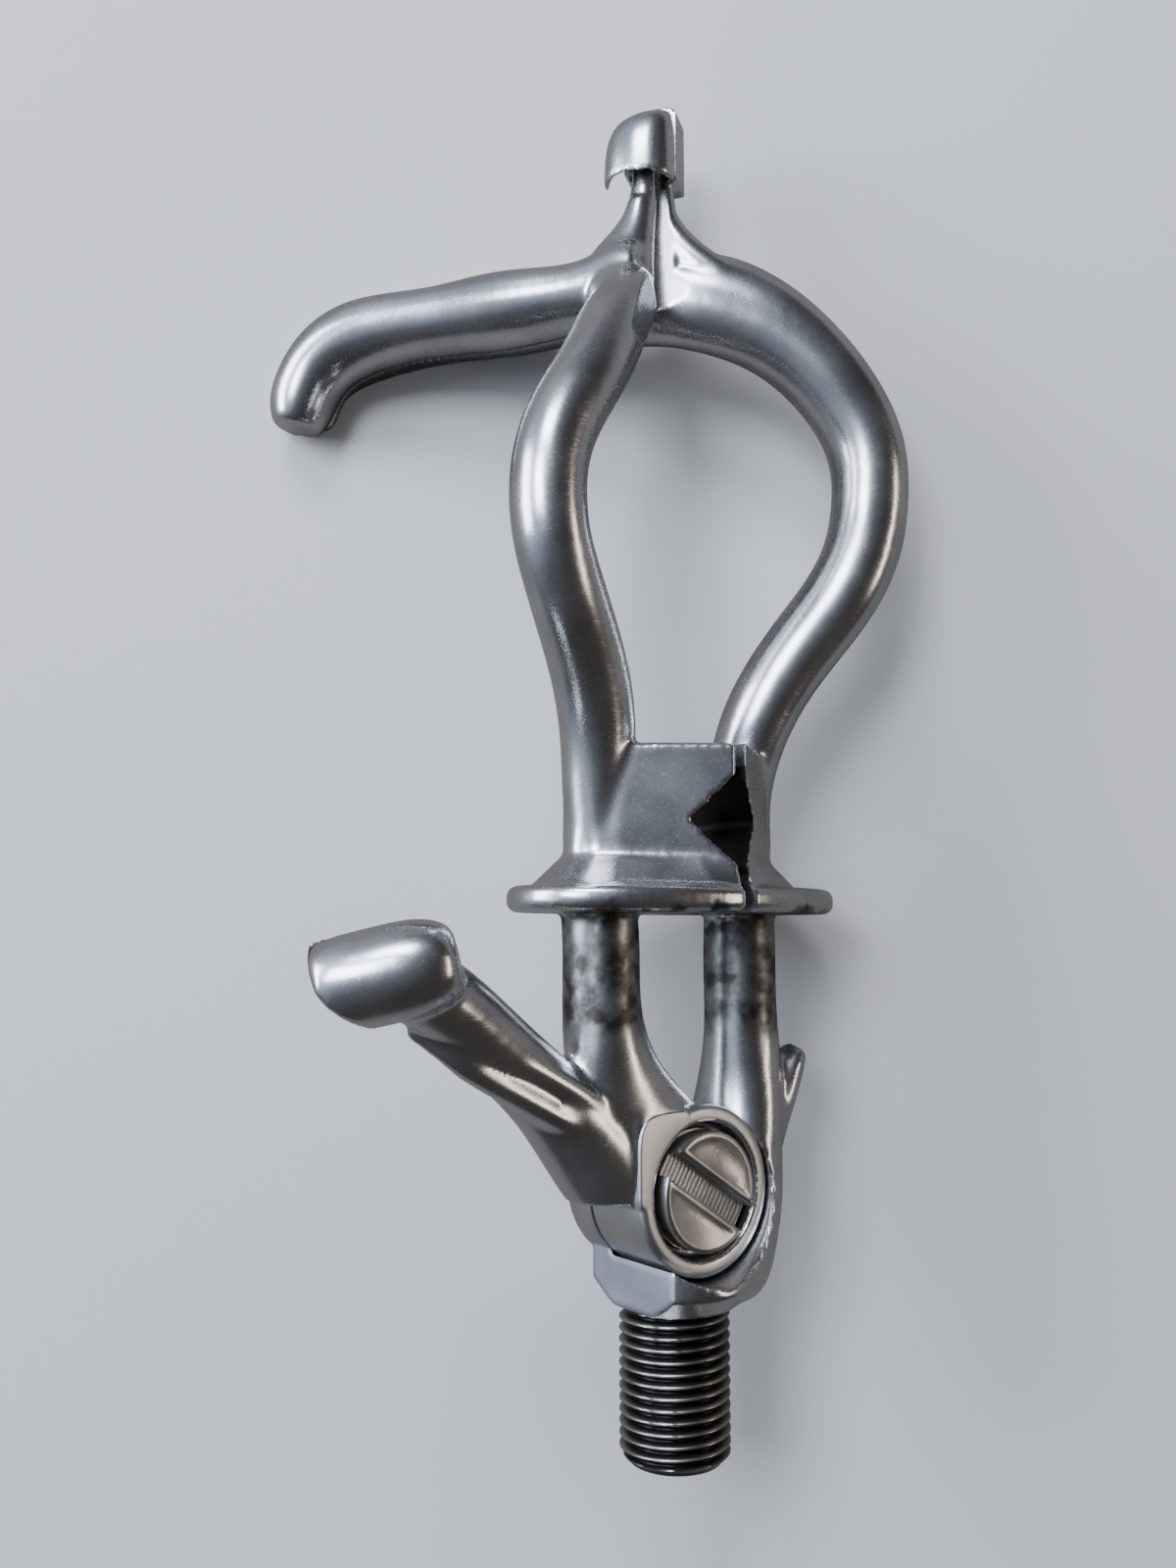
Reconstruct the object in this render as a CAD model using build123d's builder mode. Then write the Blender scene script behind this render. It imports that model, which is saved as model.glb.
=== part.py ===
from build123d import *
import math
import os

os.makedirs("parts", exist_ok=True)

# Frame: origin at the centre of the stud shoulder, Z up the stud axis toward the hook tips,
# Y along the pivot axis with the screw head on -Y, X from the movable finger (-X) to the fixed one (+X).

# threaded stud
stud_r = 6.35
stud_root_r = 5.55
stud_pitch = 1.27
stud_length = 17.0
stud_end_chamfer = 1.1
stud_spigot_r = 5.0
stud_spigot_length = 2.4

# collar at the foot of the fixed finger
collar_r = 9.5
collar_height = 6.5
collar_foot_r = 7.0
collar_chamfer_height = 2.4
flat_x = 6.35

# pivot
pivot_z = 13.3
boss_r = 9.5
boss_front_y = -5.8
boss_rear_y = 3.3
lug_front_y = 3.8
lug_rear_y = 8.0
lug_foot_y = 7.2
boss_clearance = 0.4
hub_face_y = -5.6
arm_foot_z = 12.6

# screw and bearing
head_r = 6.7
head_front_y = -6.6
head_back_y = -3.7
slot_width = 2.9
slot_depth = 1.6
slot_angle = -33.0
counterbore_r = 7.6
counterbore_floor_y = -3.3
web_hole_r = 6.2
screw_collar_r = 4.2
shank_r = 3.1
bearing_r = 7.9375
bearing_bore_r = 3.175
bearing_front_y = -1.7
race_thickness = 1.25
ball_r = 1.19
ball_circle_r = 5.56
ball_count = 8
cage_r = 0.35

# socket in the thumb knob for the ball on the cable
socket_r = 3.3
socket_middle = (-41.8, -0.4, 36.9)
socket_axis = (-0.62, 0.42, -0.66)
socket_axis_side = (0.56, 0.83, 0)

# flange and tool-holder plates
split_half_gap = 0.6
flange_half_x = 22.7
flange_half_y = 13.6
flange_middle_x = 0.9
flange_bottom_z = 44.5
flange_top_z = 47.5
flange_rim_round = 1.2
plate_top_z = 63.6
notch_z = 54.9
notch_half_height = 5.3
notch_depth = 4.3

# the bars, necks and claws stand on a parting plane that is turned about Z
parting_offset = 3.84
bar_direction = (-0.570, 0.822)
parting_half_gap = 0.18
tooth_pitch = 1.15
tooth_depth = 0.35
bar_tooth_count = 30

bar_x, bar_y = bar_direction
face_x, face_y = -bar_y, bar_x
parting_origin = (face_x * parting_offset, face_y * parting_offset)


def from_parting(u, v, z):
    """Row point for u along the bars, v out of the parting plane on the movable side."""
    x = parting_origin[0] + u * bar_x + v * face_x
    y = parting_origin[1] + u * bar_y + v * face_y
    return (x, y, z)


def bar_through(stations, side, level=False):
    """Loft through ellipses: each station is (point, half width along side, half width across)."""
    points = [Vector(*s[0]) for s in stations]
    sections = []
    for i, (point, along, across) in enumerate(stations):
        before = points[max(i - 1, 0)]
        after = points[min(i + 1, len(points) - 1)]
        tangent = Vector(0, 0, 1) if level else (after - before).normalized()
        reference = Vector(*side)
        x_dir = (reference - tangent * reference.dot(tangent)).normalized()
        with BuildSketch(Plane(origin=points[i], x_dir=x_dir, z_dir=tangent)) as section:
            Ellipse(along, across)
        sections.append(section.sketch)
    loft(sections)


def flat_slab(outline, low_z, high_z):
    """Prism on a closed outline of (x, y) corners between two heights."""
    with BuildSketch(Plane.XY.offset(low_z)) as section:
        Polygon(*outline, align=None)
    extrude(section.sketch, amount=high_z - low_z)


def pivot_disc(radius, front_y, rear_y, mode=Mode.ADD):
    """Disc about the pivot axis."""
    with BuildSketch(Plane(origin=(0, front_y, pivot_z), x_dir=(1, 0, 0), z_dir=(0, 1, 0))) as section:
        Circle(radius)
    extrude(section.sketch, amount=rear_y - front_y, mode=mode)


def mirrored(outline, sign):
    """Outline for the finger on the given side of X = 0."""
    return [(sign * x, y) for x, y in outline]


# outline of one tool-holder plate, drawn for +X, and of the skirt that spreads it on to the flange
plate_outline = [
    (split_half_gap, -12.3),
    (4.0, -9.85),
    (11.4, -4.5),
    (13.6, -2.6),
    (14.8, -0.4),
    (14.7, 1.8),
    (13.2, 3.6),
    (10.6, 4.2),
    (split_half_gap, -0.4),
]
skirt_outline = [
    (split_half_gap, -12.9),
    (4.3, -12.1),
    (14.0, -7.0),
    (17.4, -4.0),
    (18.8, -0.4),
    (18.2, 3.6),
    (15.6, 6.8),
    (11.0, 7.4),
    (split_half_gap, 1.6),
]

# oval flange with a rounded rim, shared by the two fingers
with BuildPart() as flange_blank:
    with BuildSketch(Plane.XY.offset(flange_bottom_z)):
        with Locations((flange_middle_x, 0)):
            Ellipse(flange_half_x, flange_half_y)
    extrude(amount=flange_top_z - flange_bottom_z)
    rim_edges = flange_blank.edges().group_by(Axis.Z)
    fillet(rim_edges[0] + rim_edges[-1], flange_rim_round)

with BuildPart() as flange_fixed_half:
    add(flange_blank.part)
    split(bisect_by=Plane.YZ.offset(split_half_gap), keep=Keep.TOP)

with BuildPart() as flange_movable_half:
    add(flange_blank.part)
    split(bisect_by=Plane.YZ.offset(-split_half_gap), keep=Keep.BOTTOM)


def plate_and_flange(sign):
    """Flange half, plate and the skirt between them, on the given side."""
    add(flange_fixed_half.part if sign > 0 else flange_movable_half.part)
    flat_slab(mirrored(plate_outline, sign), flange_top_z - 0.5, plate_top_z)
    with BuildSketch(Plane.XY.offset(flange_top_z - 0.2)) as skirt_foot:
        Polygon(*mirrored(skirt_outline, sign), align=None)
    with BuildSketch(Plane.XY.offset(flange_top_z + 3.6)) as skirt_top:
        Polygon(*mirrored(plate_outline, sign), align=None)
    loft([skirt_foot.sketch, skirt_top.sketch])


def cut_notch(sign):
    """V notch that holds a tool handle between the two plates."""
    near = split_half_gap - 1.0
    with BuildSketch(Plane(origin=(0, -30, 0), x_dir=(1, 0, 0), z_dir=(0, 1, 0))) as notch:
        Polygon(
            (sign * near, -(notch_z - notch_half_height - 1.0)),
            (sign * (split_half_gap + notch_depth), -notch_z),
            (sign * near, -(notch_z + notch_half_height + 1.0)),
            align=None,
        )
    extrude(notch.sketch, amount=60, mode=Mode.SUBTRACT)


def trim_at_parting(sign):
    """Remove everything above the loops that lies past the parting plane; sign +1 keeps the movable side."""
    with BuildSketch(Plane(
        origin=from_parting(0, sign * parting_half_gap, 102),
        x_dir=(bar_x, bar_y, 0),
        z_dir=(0, 0, 1),
    )) as waste:
        with Locations((20, -sign * 20)):
            Rectangle(110, 40)
    extrude(waste.sketch, amount=60, mode=Mode.SUBTRACT)


def trim_front_edge():
    """Square off the movable finger where its loop runs up beside the fixed finger."""
    with BuildSketch(Plane(
        origin=from_parting(-0.3, 0, 109),
        x_dir=(bar_x, bar_y, 0),
        z_dir=(0, 0, 1),
    )) as waste:
        with Locations((-10, 10)):
            Rectangle(20, 40)
    extrude(waste.sketch, amount=21, mode=Mode.SUBTRACT)


def cut_teeth(sign):
    """Upright V grooves along the gripping face of a bar."""
    with BuildSketch(Plane(
        origin=from_parting(0, sign * parting_half_gap, 110),
        x_dir=(bar_x, bar_y, 0),
        z_dir=(0, 0, 1),
    )) as grooves:
        for i in range(bar_tooth_count):
            with Locations((9.5 + i * tooth_pitch, 0)):
                Rectangle(tooth_depth * 1.4, tooth_depth * 1.4, rotation=45)
    extrude(grooves.sketch, amount=20, mode=Mode.SUBTRACT)


def bar_stations(sign, rise, tip_reach):
    """Stations of a hook bar and its down-turned tip: (u, v, z, half height, half width)."""
    rows = [
        (1.0, 3.0, 119.4, 5.0, 4.6),
        (7.0, 2.7, 119.3, 4.5, 4.8),
        (14.0, 2.6, 119.1, 4.3, 4.9),
        (26.0, 2.6, 119.0, 4.3, 4.9),
        (36.0, 2.6, 118.8, 4.5, 4.9),
        (42.0, 2.6, 117.4, 4.7, 4.9),
        (46.0 + tip_reach, 2.6, 113.9, 4.4, 4.7),
        (47.8 + tip_reach, 2.7, 109.6, 4.0, 4.3),
        (48.3 + tip_reach, 2.8, 107.2, 2.8, 3.3),
    ]
    return [(from_parting(u, sign * v, z + rise), tall, wide) for u, v, z, tall, wide in rows]


def claw(sign, near_u, far_u, top_z, thick):
    """Small curled claw on the given side of the parting plane."""
    origin = from_parting(0, sign * parting_half_gap, 0)
    with BuildSketch(Plane(origin=origin, x_dir=(bar_x, bar_y, 0), z_dir=(bar_y, -bar_x, 0))) as profile:
        with BuildLine():
            Polyline(
                (near_u, top_z - 10.0),
                (near_u, top_z - 0.8),
                (near_u + 0.9, top_z),
                (far_u - 3.4, top_z),
                (far_u - 1.5, top_z - 0.9),
                (far_u - 0.3, top_z - 3.0),
                (far_u, top_z - 5.4),
                (far_u - 0.1, top_z - 8.2),
                (far_u - 0.9, top_z - 9.3),
                (far_u - 1.9, top_z - 9.2),
                (far_u - 1.5, top_z - 8.0),
                (far_u - 2.2, top_z - 6.9),
                (far_u - 3.2, top_z - 6.9),
                (far_u - 3.7, top_z - 8.2),
                (far_u - 3.7, top_z - 10.0),
                close=True,
            )
        make_face()
    extrude(profile.sketch, amount=-sign * thick)


def hub_face_corner():
    """Flat front face of the hub, which reaches past the round boss toward the thumb arm."""
    corner_z = pivot_z + boss_r - 0.6
    with BuildSketch(Plane(origin=(0, hub_face_y, 0), x_dir=(1, 0, 0), z_dir=(0, 1, 0))) as face:
        Polygon(
            (-boss_r, -pivot_z),
            (-boss_r - 0.3, -corner_z + 0.6),
            (-boss_r + 1.2, -corner_z - 0.5),
            (0, -corner_z - 0.4),
            (0, -pivot_z),
            align=None,
        )
    extrude(face.sketch, amount=4.0)


# thumb arm, cut level with the pivot so that the machined boss shows below it
with BuildPart() as thumb_arm:
    bar_through([
        ((-4.0, -0.6, 13.4), 7.0, 4.8),
        ((-9.0, 0.4, 16.6), 6.6, 5.7),
        ((-14.0, 0.7, 21.2), 5.2, 5.4),
        ((-19.5, 0.2, 25.9), 4.3, 4.4),
        ((-25.5, -0.8, 30.4), 4.1, 4.1),
        ((-31.5, -2.0, 34.6), 4.1, 4.0),
        ((-36.5, -2.8, 37.2), 4.0, 4.0),
    ], (0, 0, 1))
    with BuildSketch(Plane.XY.offset(arm_foot_z - 20)):
        with Locations((-20, 0)):
            Rectangle(60, 40)
    extrude(amount=20, mode=Mode.SUBTRACT)

# movable finger: hub boss, thumb, neck, flange half, plate, loop, bar, claw
with BuildPart() as movable_finger:
    pivot_disc(boss_r, boss_front_y, boss_rear_y)
    fillet(movable_finger.faces().sort_by(Axis.Y)[0].edges(), 0.9)
    hub_face_corner()
    bar_through([
        ((-1.6, -1.25, 13.6), 7.6, 4.4),
        ((-4.2, -1.25, 18.5), 9.4, 4.4),
        ((-7.2, -1.1, 23.2), 8.2, 4.4),
        ((-9.7, -0.8, 28.0), 5.8, 4.4),
        ((-10.7, -0.5, 32.5), 4.7, 4.4),
        ((-10.8, -0.3, 37.0), 4.4, 4.4),
        ((-10.8, -0.2, 41.5), 4.4, 4.4),
        ((-10.8, -0.2, 46.0), 4.4, 4.4),
    ], (1, 0, 0), level=True)
    add(thumb_arm.part)
    bar_through([
        ((-45.4, 1.3, 36.7), 3.2, 3.2),
        ((-44.6, 0.8, 36.9), 4.2, 4.2),
        ((-42.4, -0.8, 37.4), 4.8, 4.8),
        ((-38.5, -3.8, 38.5), 4.9, 4.9),
        ((-35.2, -6.2, 39.4), 4.2, 4.2),
        ((-33.9, -7.1, 39.8), 2.4, 2.4),
    ], (0, 0, 1))
    plate_and_flange(-1)
    bar_through([
        ((-10.6, 0.1, 50.0), 4.1, 3.7),
        ((-10.8, 0.0, 56.0), 4.2, 3.9),
        ((-11.4, -0.6, 62.0), 4.4, 4.1),
        ((-13.2, -2.2, 68.5), 4.5, 4.3),
        ((-17.6, -5.0, 75.4), 4.4, 4.3),
        ((-20.8, -6.8, 79.6), 4.3, 4.2),
        ((-23.2, -7.8, 84.2), 4.2, 4.2),
        ((-23.9, -8.0, 89.4), 4.2, 4.2),
        ((-23.0, -8.0, 94.9), 4.2, 4.2),
        ((-19.6, -7.7, 101.4), 4.2, 4.2),
        ((-15.6, -6.5, 107.4), 4.2, 4.2),
        ((-12.2, -5.0, 112.6), 4.2, 4.2),
        (from_parting(4.4, 4.0, 119.0), 4.2, 3.6),
    ], (1, 0, 0))
    bar_through(bar_stations(1, 0.3, 0.0), (0, 0, 1))
    bar_through([
        (from_parting(4.6, 3.2, 118.5), 4.6, 3.6),
        (from_parting(4.2, 3.0, 122.0), 4.4, 3.4),
        (from_parting(2.9, 2.0, 126.0), 2.9, 2.8),
        (from_parting(2.0, 1.5, 129.5), 1.9, 2.3),
        (from_parting(1.7, 1.3, 135.0), 1.6, 2.2),
        (from_parting(1.7, 1.3, 138.5), 1.6, 2.2),
    ], (bar_x, bar_y, 0))
    claw(1, -0.7, 6.0, 141.4, 4.4)
    trim_at_parting(1)
    trim_front_edge()
    cut_teeth(1)
    cut_notch(-1)
    with BuildSketch(Plane(origin=socket_middle, x_dir=socket_axis_side, z_dir=socket_axis)):
        Circle(socket_r)
    extrude(amount=12, mode=Mode.SUBTRACT)
    with Locations(socket_middle):
        Sphere(socket_r, mode=Mode.SUBTRACT)
    pivot_disc(boss_r + boss_clearance, boss_rear_y, 12.0, Mode.SUBTRACT)
    pivot_disc(counterbore_r, -8.0, counterbore_floor_y, Mode.SUBTRACT)
    pivot_disc(web_hole_r, -8.0, bearing_front_y + 0.5, Mode.SUBTRACT)
    pivot_disc(bearing_r, bearing_front_y, boss_rear_y + 0.5, Mode.SUBTRACT)
movable_finger.part.label = "movable_finger"
export_step(movable_finger.part, "parts/movable_finger.step")

# fixed finger: collar with wrench flats, rear lug, column, neck, flange half, plate, loop, bar, claw
with BuildPart() as fixed_finger:
    Cylinder(collar_r, collar_height, align=(Align.CENTER, Align.CENTER, Align.MIN))
    chamfer(
        fixed_finger.faces().sort_by(Axis.Z)[0].edges(),
        length=collar_chamfer_height,
        length2=collar_r - collar_foot_r,
    )
    pivot_disc(boss_r, lug_front_y, lug_rear_y)
    with BuildSketch(Plane.XY.offset(2.5)):
        with Locations((0, (lug_front_y + lug_foot_y) / 2)):
            Rectangle(2 * flat_x, lug_foot_y - lug_front_y)
    extrude(amount=pivot_z - 2.5)
    bar_through([
        ((2.2, 0.0, 0.8), 7.6, 7.4),
        ((3.6, 0.2, 3.0), 8.8, 8.4),
        ((5.8, 0.4, 7.0), 8.4, 8.0),
        ((8.2, 0.7, 11.0), 7.0, 7.5),
        ((9.8, 0.9, 15.0), 5.8, 6.9),
        ((10.9, 0.8, 20.0), 5.2, 6.2),
        ((11.4, 0.4, 26.0), 5.0, 5.0),
        ((11.1, 0.0, 31.0), 4.6, 4.4),
        ((10.9, -0.1, 36.0), 4.4, 4.4),
        ((10.8, -0.2, 41.0), 4.4, 4.4),
        ((10.8, -0.2, 46.0), 4.4, 4.4),
    ], (1, 0, 0), level=True)
    bar_through([
        ((12.6, -0.3, 15.0), 2.8, 3.6),
        ((14.6, -1.0, 21.0), 2.6, 3.2),
        ((17.0, -1.8, 26.0), 1.9, 2.5),
        ((18.4, -2.3, 28.0), 0.9, 1.5),
    ], (1, 0, 0))
    plate_and_flange(1)
    bar_through([
        ((10.6, 0.1, 50.0), 4.1, 3.7),
        ((10.8, 0.0, 56.0), 4.2, 3.9),
        ((11.0, -0.8, 62.0), 4.4, 4.1),
        ((12.4, -3.8, 70.6), 4.6, 4.4),
        ((16.2, -8.6, 79.3), 4.7, 4.5),
        ((18.4, -11.9, 84.6), 4.7, 4.6),
        ((20.2, -13.6, 90.6), 4.7, 4.7),
        ((20.7, -14.2, 96.8), 4.7, 4.7),
        ((19.8, -14.0, 103.0), 4.8, 4.8),
        ((16.7, -12.6, 109.0), 5.0, 4.8),
        ((12.2, -9.9, 114.6), 5.4, 4.8),
        ((7.6, -6.6, 118.4), 6.0, 4.6),
        ((2.6, -2.4, 120.6), 6.2, 4.4),
        ((-1.6, 3.0, 120.9), 5.2, 4.2),
        ((-5.0, 7.6, 121.0), 4.3, 3.8),
    ], (0.3, -0.2, 1))
    bar_through(bar_stations(-1, 1.9, 0.9), (0, 0, 1))
    bar_through([
        (from_parting(1.0, -3.4, 118.5), 5.4, 3.6),
        (from_parting(0.6, -3.0, 122.0), 4.4, 3.4),
        (from_parting(0.2, -2.2, 126.5), 2.9, 2.8),
        (from_parting(0.4, -1.6, 131.0), 2.2, 2.4),
        (from_parting(0.6, -1.4, 138.5), 2.0, 2.3),
    ], (bar_x, bar_y, 0))
    bar_through([
        (from_parting(0.2, -2.0, 131.0), 1.8, 1.8),
        (from_parting(-2.2, -2.6, 126.0), 2.6, 2.4),
        (from_parting(-6.0, -4.2, 122.0), 3.4, 3.0),
        (from_parting(-11.0, -6.6, 118.4), 3.8, 3.4),
    ], (bar_x, bar_y, 0))
    claw(-1, -2.2, 4.6, 144.4, 4.4)
    trim_at_parting(-1)
    cut_teeth(-1)
    cut_notch(1)
    with BuildSketch(Plane.XY.offset(-1.0)):
        with Locations((-flat_x - 10, 0)):
            Rectangle(20, 40)
    extrude(amount=collar_height + 1.5, mode=Mode.SUBTRACT)
    pivot_disc(boss_r + boss_clearance, -14.0, lug_front_y, Mode.SUBTRACT)
    pivot_disc(shank_r, lug_front_y - 1.0, lug_rear_y + 1.0, Mode.SUBTRACT)
    with BuildSketch(Plane.XY.offset(-1.0)):
        Circle(stud_spigot_r)
    extrude(amount=stud_spigot_length + 1.0, mode=Mode.SUBTRACT)
fixed_finger.part.label = "fixed_finger"
export_step(fixed_finger.part, "parts/fixed_finger.step")

# stud with thread crests at full diameter
with BuildPart() as threaded_stud:
    with BuildSketch(Plane.XZ):
        with BuildLine():
            profile = [
                (0, stud_spigot_length),
                (stud_spigot_r, stud_spigot_length),
                (stud_spigot_r, 0),
                (stud_r, 0),
            ]
            crest = 0.16
            level = -crest
            while level - stud_pitch > -(stud_length - stud_end_chamfer):
                profile.append((stud_r, level))
                profile.append((stud_root_r, level - (stud_pitch - 2 * crest) / 2 - 0.05))
                profile.append((stud_root_r, level - (stud_pitch - 2 * crest) / 2 - 0.26))
                profile.append((stud_r, level - stud_pitch + 2 * crest))
                level -= stud_pitch
            profile.append((stud_r, -(stud_length - stud_end_chamfer)))
            profile.append((stud_r - stud_end_chamfer, -stud_length))
            profile.append((0, -stud_length))
            Polyline(*profile, close=True)
        make_face()
    revolve(axis=Axis.Z)
threaded_stud.part.label = "threaded_stud"
export_step(threaded_stud.part, "parts/threaded_stud.step")

# pivot screw with a wide slotted head
with BuildPart() as pivot_screw:
    pivot_disc(head_r, head_front_y, head_back_y)
    fillet(pivot_screw.faces().sort_by(Axis.Y)[0].edges(), 0.45)
    pivot_disc(screw_collar_r, head_back_y, bearing_front_y)
    pivot_disc(shank_r, bearing_front_y, lug_rear_y - 0.3)
    with BuildSketch(Plane(origin=(0, head_front_y, pivot_z), x_dir=(1, 0, 0), z_dir=(0, 1, 0))):
        Rectangle(3 * head_r, slot_width, rotation=-slot_angle)
    extrude(amount=slot_depth, mode=Mode.SUBTRACT)
pivot_screw.part.label = "pivot_screw"
export_step(pivot_screw.part, "parts/pivot_screw.step")


def race_groove():
    """Ball track cut about the pivot axis at mid width."""
    with BuildSketch(Plane(origin=(0, 0, pivot_z), x_dir=(1, 0, 0), z_dir=(0, 0, 1))) as track:
        with Locations((ball_circle_r, (bearing_front_y + boss_rear_y) / 2)):
            Circle(ball_r + 0.04)
    revolve(track.sketch, axis=Axis((0, 0, pivot_z), (0, 1, 0)), mode=Mode.SUBTRACT)


# ball bearing: races, cage and balls
with BuildPart() as bearing_outer_race:
    pivot_disc(bearing_r, bearing_front_y, boss_rear_y)
    pivot_disc(bearing_r - race_thickness, bearing_front_y - 1, boss_rear_y + 1, Mode.SUBTRACT)
    race_groove()
bearing_outer_race.part.label = "bearing_outer_race"
export_step(bearing_outer_race.part, "parts/bearing_outer_race.step")

with BuildPart() as bearing_inner_race:
    pivot_disc(bearing_bore_r + race_thickness, bearing_front_y, boss_rear_y)
    pivot_disc(bearing_bore_r, bearing_front_y - 1, boss_rear_y + 1, Mode.SUBTRACT)
    race_groove()
bearing_inner_race.part.label = "bearing_inner_race"
export_step(bearing_inner_race.part, "parts/bearing_inner_race.step")

with BuildPart() as bearing_cage:
    mid_y = (bearing_front_y + boss_rear_y) / 2
    pivot_disc(ball_circle_r + cage_r, mid_y - 1.9, mid_y + 1.9)
    pivot_disc(ball_circle_r - cage_r, mid_y - 2.9, mid_y + 2.9, Mode.SUBTRACT)
    for i in range(ball_count):
        angle = 2 * math.pi * (i + 0.5) / ball_count
        outward = (math.cos(angle), 0, math.sin(angle))
        with BuildSketch(Plane(origin=(0, mid_y, pivot_z), x_dir=(0, 1, 0), z_dir=outward)):
            Circle(ball_r + 0.06)
        extrude(amount=ball_circle_r + 2, mode=Mode.SUBTRACT)
bearing_cage.part.label = "bearing_cage"
export_step(bearing_cage.part, "parts/bearing_cage.step")

for i in range(ball_count):
    angle = 2 * math.pi * (i + 0.5) / ball_count
    with BuildPart() as bearing_ball:
        with Locations((ball_circle_r * math.cos(angle), mid_y, pivot_z + ball_circle_r * math.sin(angle))):
            Sphere(ball_r)
    bearing_ball.part.label = f"bearing_ball_{i + 1}"
    export_step(bearing_ball.part, f"parts/bearing_ball_{i + 1}.step")

# spacer between the inner race and the fixed lug
with BuildPart() as pivot_spacer:
    pivot_disc(screw_collar_r, boss_rear_y, lug_front_y)
    pivot_disc(shank_r, boss_rear_y - 1, lug_front_y + 1, Mode.SUBTRACT)
pivot_spacer.part.label = "pivot_spacer"
export_step(pivot_spacer.part, "parts/pivot_spacer.step")
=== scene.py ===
"""Looks of the split hook terminal device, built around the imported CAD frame."""
import math

import bmesh
import bpy
import numpy as np
from mathutils import Matrix, Vector


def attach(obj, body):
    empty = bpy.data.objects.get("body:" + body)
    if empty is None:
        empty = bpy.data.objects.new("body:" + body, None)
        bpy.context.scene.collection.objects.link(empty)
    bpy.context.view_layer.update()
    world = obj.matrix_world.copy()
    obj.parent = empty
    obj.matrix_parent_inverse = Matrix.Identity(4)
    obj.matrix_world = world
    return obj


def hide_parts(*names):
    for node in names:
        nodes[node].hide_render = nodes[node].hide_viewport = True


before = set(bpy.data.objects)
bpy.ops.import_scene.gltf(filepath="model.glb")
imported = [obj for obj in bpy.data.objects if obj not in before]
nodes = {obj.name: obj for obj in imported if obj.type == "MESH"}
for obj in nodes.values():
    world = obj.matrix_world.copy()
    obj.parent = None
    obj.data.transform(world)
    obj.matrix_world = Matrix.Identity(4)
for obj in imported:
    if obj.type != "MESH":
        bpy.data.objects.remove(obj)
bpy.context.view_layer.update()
MM = 0.001

# ---------------------------------------------------------------- dimensions shared with the CAD, in mm
PIVOT_Z = 13.3
BOSS_R = 9.5
BOSS_FRONT = -5.8
BOSS_REAR = 3.3
LUG_FRONT = 3.8
LUG_REAR = 8.0
BORE_R = 7.6
BORE_FLOOR = -3.3
HEAD_R = 6.7
HEAD_FRONT = -6.6
HEAD_BACK = -3.7
SLOT_HALF = 1.45
SLOT_DEPTH = 1.6
SLOT_ANGLE = math.radians(-33)
STUD_R = 6.35
ROOT_R = 5.55
PITCH = 1.27
STUD_LENGTH = 17.0
FLAT_X = 6.35
PARTING = 3.84
BAR = (-0.570, 0.822)
FACE = (-BAR[1], BAR[0])
PARTING_GAP = 0.18
TOOTH_PITCH = 1.15
FLANGE_HALF_X = 22.7
FLANGE_HALF_Y = 13.6
FLANGE_X = 0.9
FLANGE_Z = 46.0
NOTCH_Z = 54.9
PLATE_TOP_Z = 63.6

# ---------------------------------------------------------------- places used by the looks only, in mm
TOOTH_COUNT = 29
TOOTH_START = 9.0
KNOB = Vector((-40.0, -2.5, 38.0))
CLAW_CUT_Z = 131.0
CLAW_FOOT_Z = 133.7
GRIME_LOW, GRIME_HIGH = 29.0, 43.7


def from_parting(u, v, z):
    """Point for u along the bars and v out of the parting plane on the movable side, in mm."""
    return (
        (PARTING + v) * FACE[0] + u * BAR[0],
        (PARTING + v) * FACE[1] + u * BAR[1],
        z,
    )


# ---------------------------------------------------------------- camera
camera_data = bpy.data.cameras.new("camera")
camera = bpy.data.objects.new("camera", camera_data)
bpy.context.scene.collection.objects.link(camera)
bpy.context.scene.camera = camera
camera_data.sensor_width = 36
camera_data.lens = 30.375
camera_data.clip_start = 0.01
camera_data.clip_end = 20
CAMERA_AT = Vector((-0.10352, -0.11955, 0.04228))
VIEW_RIGHT = Vector((0.7955, -0.6060, 0.0))
VIEW_AHEAD = Vector((0.6022, 0.7905, 0.1115)).normalized()
VIEW_RIGHT = (VIEW_RIGHT - VIEW_AHEAD * VIEW_RIGHT.dot(VIEW_AHEAD)).normalized()
VIEW_UP = VIEW_RIGHT.cross(VIEW_AHEAD)
camera.matrix_world = Matrix.Translation(CAMERA_AT) @ Matrix(
    (VIEW_RIGHT, VIEW_UP, -VIEW_AHEAD)
).transposed().to_4x4()


# ---------------------------------------------------------------- materials
def nodes_of(name):
    """New material with a Principled shader."""
    material = bpy.data.materials.new(name)
    material.use_nodes = True
    tree = material.node_tree
    return material, tree, tree.nodes["Principled BSDF"]


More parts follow.
